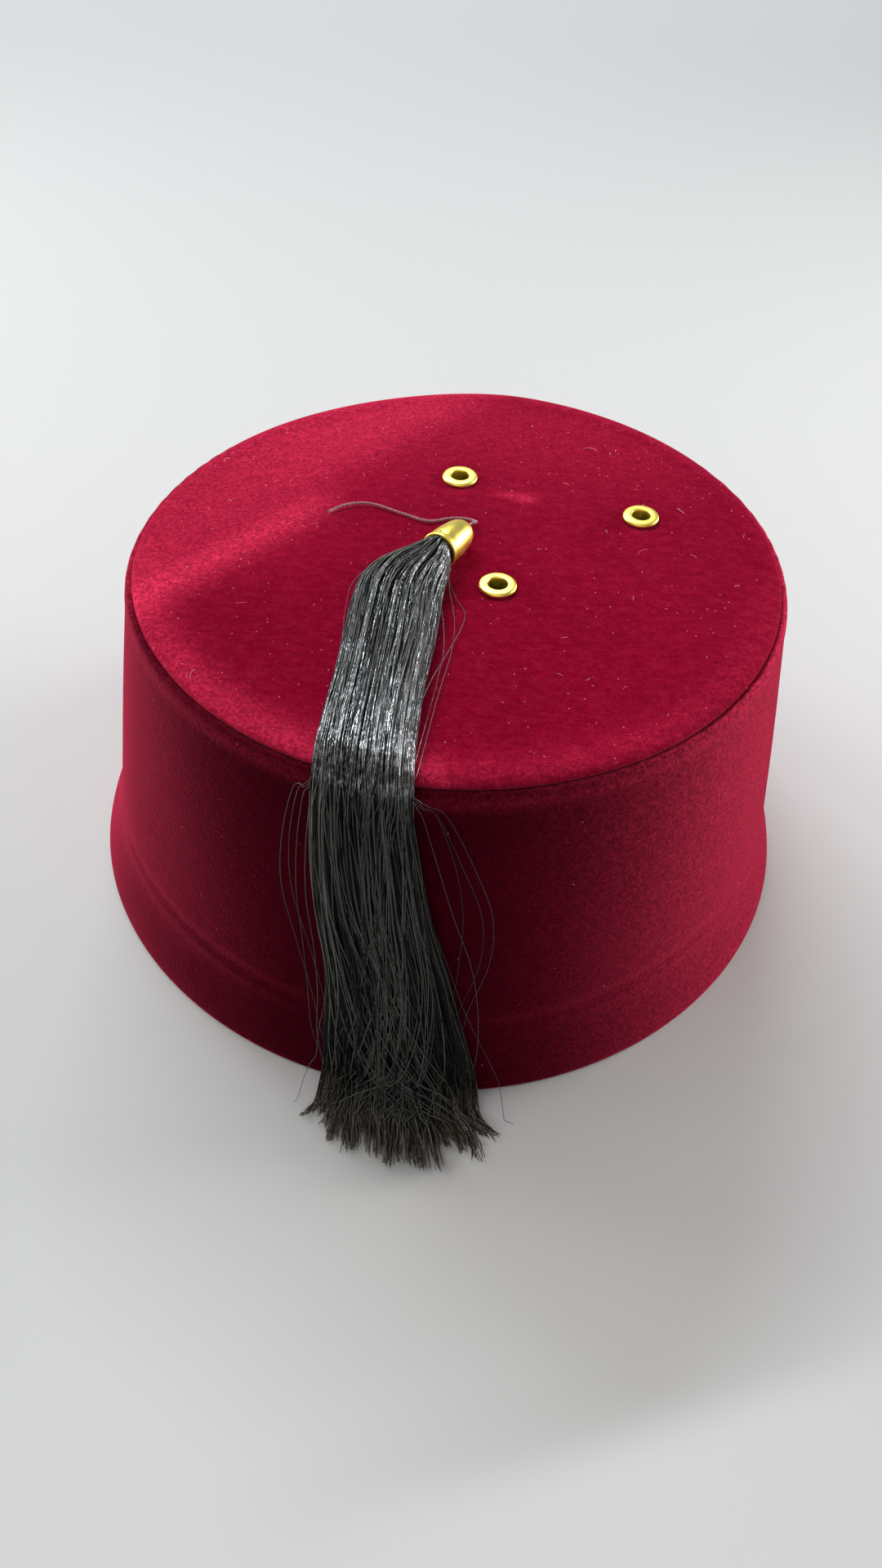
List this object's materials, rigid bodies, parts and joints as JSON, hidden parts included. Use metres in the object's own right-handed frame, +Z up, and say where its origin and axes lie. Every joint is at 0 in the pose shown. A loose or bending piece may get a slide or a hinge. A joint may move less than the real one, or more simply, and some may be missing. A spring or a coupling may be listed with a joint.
{
  "type": "fez hat",
  "caption": "Tapered velvet fez with a flat top, gold eyelets and a black fringe tassel in a bell cap that hangs over the front.",
  "frame": {"origin": "middle of the bounding box in plan, on the surface that the rim stands on", "axes": "+Z up out of the flat top, -Y towards the front, over which the fringe hangs, +X to the wearer's left"},
  "size_m": [0.1964, 0.2127, 0.1061],
  "materials": {
    "velvet": "crimson pile velvet",
    "gold": "polished gold",
    "black_yarn": "glossy rayon strands",
    "maroon_cord": "twisted thread"
  },
  "bodies": {
    "root": {"side_wall": "velvet", "top_panel": "velvet", "eyelet_back": "gold", "eyelet_right": "gold", "eyelet_front": "gold", "tassel_cap": "gold", "tassel_cord": "maroon_cord", "tassel_fringe": "black_yarn"}
  },
  "joints": []
}
